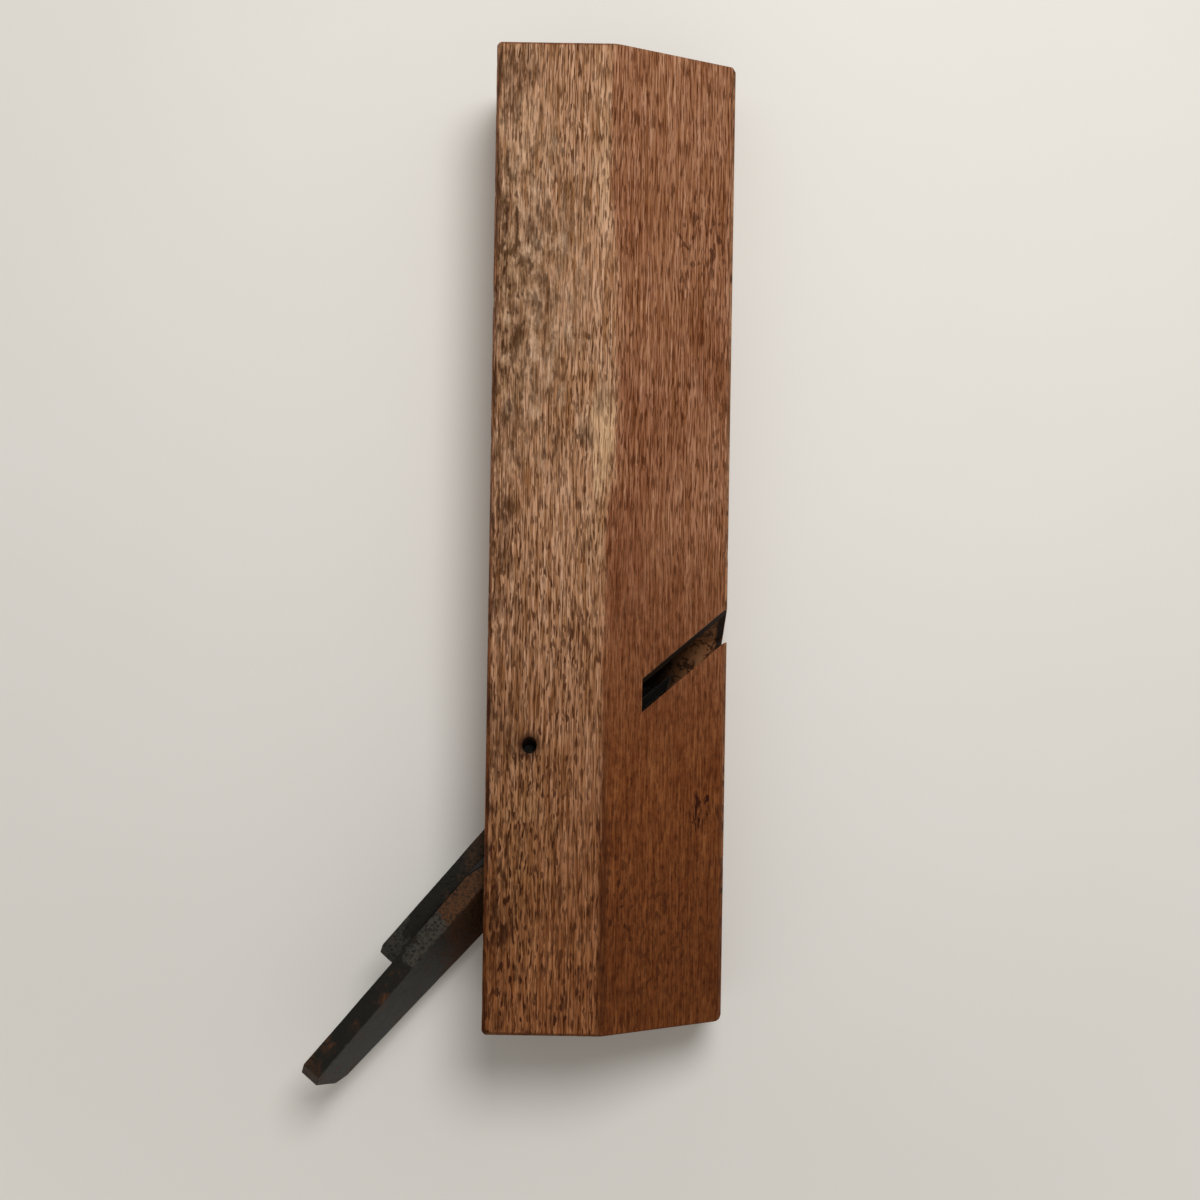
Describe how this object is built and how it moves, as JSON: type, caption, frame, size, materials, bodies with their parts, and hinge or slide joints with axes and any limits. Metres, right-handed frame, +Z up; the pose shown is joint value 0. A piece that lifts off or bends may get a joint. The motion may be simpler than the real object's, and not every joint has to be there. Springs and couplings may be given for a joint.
{
  "type": "skew rebate plane",
  "caption": "Wooden pull-type rebate plane with a bevelled cheek, a skewed mouth, a forged iron, a chipbreaker that slides on it and a cross pin that holds the chipbreaker.",
  "frame": {"origin": "middle of the plain cheek, on which the plane rests", "axes": "+Z up through the bevelled cheek, +X to the toe, +Y to the top face that the irons leave; the sole faces -Y"},
  "size_m": [0.2295, 0.0928, 0.037],
  "materials": {
    "oak": "bare old oak, handled and stained",
    "soft_iron": "dark forged skin with brown rust",
    "hard_steel": "ground, dulled with age",
    "chipbreaker_iron": "dark forged skin, worn grey at the head",
    "pin_steel": "dull drawn wire"
  },
  "bodies": {
    "body": {"body": "oak", "retaining_pin": "pin_steel"},
    "iron": {"iron_back": "soft_iron", "iron_steel": "hard_steel"},
    "chipbreaker": {"chipbreaker": "chipbreaker_iron", "chipbreaker_lip": "hard_steel"}
  },
  "joints": [
    {"name": "iron_slide", "type": "slide", "parent": "body", "child": "iron", "axis": [-0.7512, 0.6601, 0], "range_m": [-0.0187, 0.08]},
    {"name": "chipbreaker_slide", "type": "slide", "parent": "iron", "child": "chipbreaker", "axis": [-0.747, 0.6648, 0], "range_m": [-0.0017, 0.06]}
  ]
}
